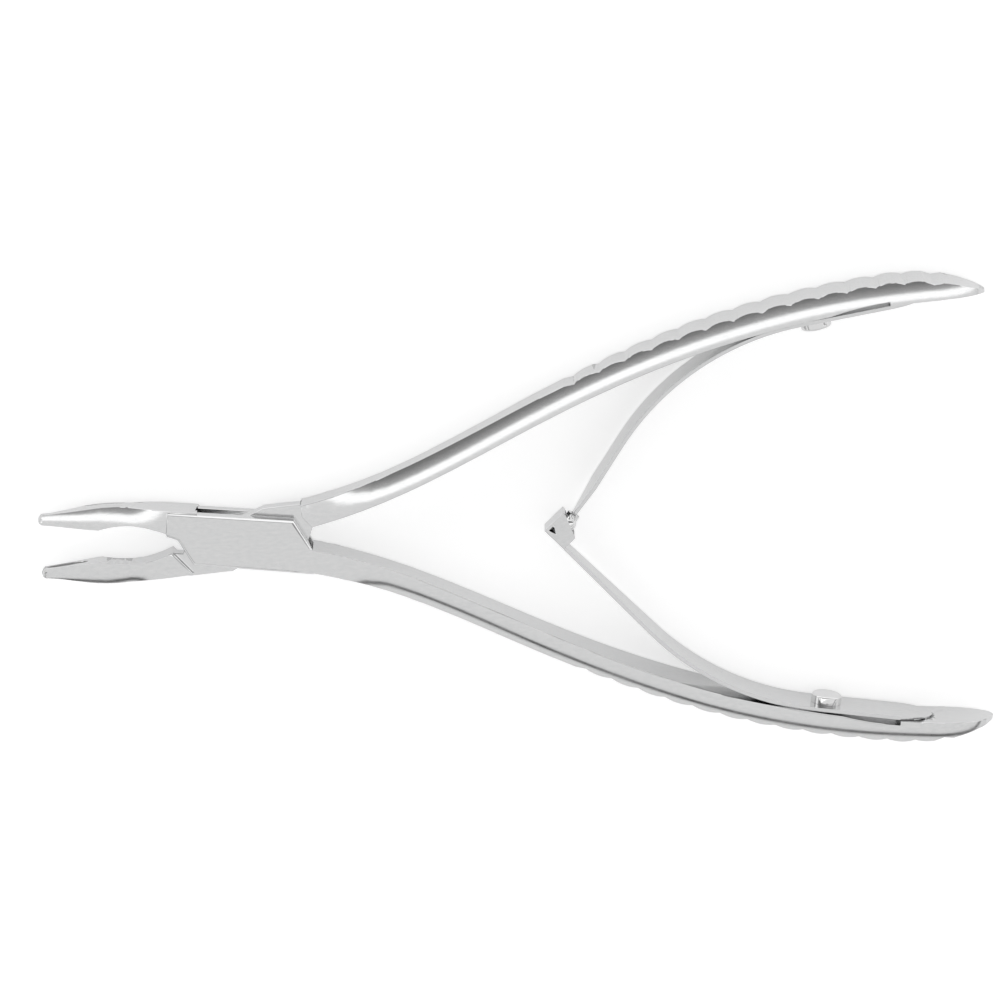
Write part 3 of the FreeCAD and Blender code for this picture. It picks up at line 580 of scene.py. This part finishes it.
# %% The two halves, the rivet and the screws
box_half = dressed("box_half", "box_side", forged_steel, 0.1, BOX_SIDE)
tang_half = dressed("tang_half", "tang_side", forged_steel, 0.1, TANG_SIDE)
pivot_rivet = dressed("pivot_pin", "box_side", rivet_steel, 0.02)
upper_screw = dressed("upper_spring_screw", "tang_side", screw_steel, 0)
lower_screw = dressed("lower_spring_screw", "box_side", screw_steel, 0)

# %% [markdown]
# ## The springs
# Each leaf is clamped under its screw and carries a ball or a cup on its free end.
# The leaves ride on no body, and their place is kept in their meshes. The ball rides
# on the upper leaf's body and the cup on the lower leaf's.

# %% The leaf springs, the ball and the cup
upper_leaf = dressed("upper_leaf_spring", None, spring_steel, 0.03)
lower_leaf = dressed("lower_leaf_spring", None, spring_steel, 0.03)
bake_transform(upper_leaf)
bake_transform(lower_leaf)
spring_ball = dressed("spring_ball", "upper_leaf", ball_steel, 0)
spring_cup = dressed("spring_socket", "lower_leaf", spring_steel, 0.05)

# %% [markdown]
# ## Floor and backdrop
# The photograph has a bare white ground. A large pale plane stands for it, with a faint
# shadow under the tool. It looks white to the camera, and the steel mirrors it a little
# brighter than its own colour, because a Light Path node adds a glow for those two kinds
# of ray. The light that falls on the tool isn't raised by either.

# %% Floor
FLOOR_SIZE, FLOOR_TONE, FLOOR_ROUGH = 4.0, 0.7, 0.9
SEEN, MIRRORED = 0.52, 0.36

deselect()
bpy.ops.mesh.primitive_plane_add(size=FLOOR_SIZE, location=(0, 0, 0))
floor = bpy.context.object
floor.name = "studio_floor"
floor_material, floor_tree, floor_shader = new_material("studio_floor_white")
floor_shader.inputs["Base Color"].default_value = (FLOOR_TONE, FLOOR_TONE, FLOOR_TONE, 1)
floor_shader.inputs["Roughness"].default_value = FLOOR_ROUGH
floor_shader.inputs["Emission Color"].default_value = (1, 1, 1, 1)
eye = floor_tree.nodes.new("ShaderNodeLightPath")
seen_lift = combine(floor_tree, "MULTIPLY", eye.outputs["Is Camera Ray"], SEEN)
mirror_lift = combine(floor_tree, "MULTIPLY", eye.outputs["Is Glossy Ray"], MIRRORED)
lift = combine(floor_tree, "ADD", seen_lift, mirror_lift)
link(floor_tree, lift, floor_shader.inputs["Emission Strength"])
floor.data.materials.append(floor_material)
print("floor, m:", FLOOR_SIZE)

# %% [markdown]
# ## Light
# Small polished tools are photographed in a light tent. Steel shows little but what
# surrounds it, so the tent is drawn as a run of tones from one side of the tool to the
# other: pale cloth with a thin dark gap in it, a bright strip overhead, a dark card, and
# bright cloth behind the card. The gap draws the fine dark line along the lower handle,
# and strip and card draw the white and the grey band along the upper one. The camera
# itself sees plain white.

# %% The light tent, as tones by the angle across the tool, in degrees
TENT = [
    (-90, 0.80),
    (-52, 0.88),
    (-50, 0.02),
    (-46, 0.02),
    (-44, 0.86),
    (-4, 0.86),
    (-2, 1.45),
    (10, 1.45),
    (13, 0.50),
    (28, 0.22),
    (38, 0.22),
    (46, 0.60),
    (58, 1.35),
    (90, 1.35),
]
BRIGHTEST = 2.0  # a ramp holds tones up to 1, so they are stored as shares of this

world = bpy.data.worlds.new("light_tent")
bpy.context.scene.world = world
world.use_nodes = True
tent = world.node_tree


def tent_tones():
    """The tone of the tent in the direction that a ray leaves."""
    way = tent.nodes.new("ShaderNodeTexCoord")
    split = tent.nodes.new("ShaderNodeSeparateXYZ")
    link(tent, way.outputs["Generated"], split.inputs["Vector"])
    angle = combine(tent, "ARCTAN2", split.outputs["Y"], split.outputs["Z"])
    place = combine(tent, "ADD", combine(tent, "DIVIDE", angle, math.pi), 0.5)
    ramp = tent.nodes.new("ShaderNodeValToRGB")
    stops = ramp.color_ramp.elements
    for index, (degrees, tone) in enumerate(TENT):
        stop = stops[index] if index < 2 else stops.new(1.0)
        stop.position = degrees / 180 + 0.5
        stop.color = (*[tone / BRIGHTEST] * 3, 1)
    link(tent, place, ramp.inputs["Fac"])
    return combine(tent, "MULTIPLY", ramp.outputs["Color"], BRIGHTEST)


# %% The world, plain white to the camera
background = tent.nodes["Background"]
background.inputs["Color"].default_value = (1, 1, 1, 1)
seen = tent.nodes.new("ShaderNodeLightPath")
strength = tent.nodes.new("ShaderNodeMix")
strength.inputs["B"].default_value = 1.0
link(tent, seen.outputs["Is Camera Ray"], strength.inputs["Factor"])
link(tent, tent_tones(), strength.inputs["A"])
link(tent, strength.outputs["Result"], background.inputs["Strength"])
print("tones in the tent:", len(TENT))

# %% [markdown]
# ## Camera
# The camera stands about 0.7 m from the middle of the tool, tilted 15 degrees from
# straight down, with a long lens, and rolled by two and a half degrees, because the
# tool lies slightly turned in the photograph. Its three axes are worked out from tilt
# and roll and set as a rotation, which is easier to correct than three Euler angles.

# %% Camera
TILT = math.radians(15.0)
ROLL = math.radians(-2.57)
LENS, SENSOR = 172.8, 36.0

across = Vector((math.cos(ROLL), math.sin(ROLL), 0))
level = Vector((-math.sin(ROLL), math.cos(ROLL), 0))
upward = level * math.cos(TILT) - Vector((0, 0, math.sin(TILT)))
backward = across.cross(upward)
deselect()
bpy.ops.object.camera_add(location=from_pivot(45.65, 187.3, 684.8))
camera = bpy.context.object
camera.name = "photograph_camera"
camera.rotation_euler = Matrix((across, upward, backward)).transposed().to_euler()
camera.data.sensor_width = SENSOR
camera.data.lens = LENS
bpy.context.scene.camera = camera
bpy.context.scene.view_settings.view_transform = "Standard"
print("camera at", [round(v, 4) for v in camera.location])

# %% [markdown]
# ## Finish
# The view layer is brought up to date, so that every piece stands where it was set.

# %% Finish
bpy.context.view_layer.update()
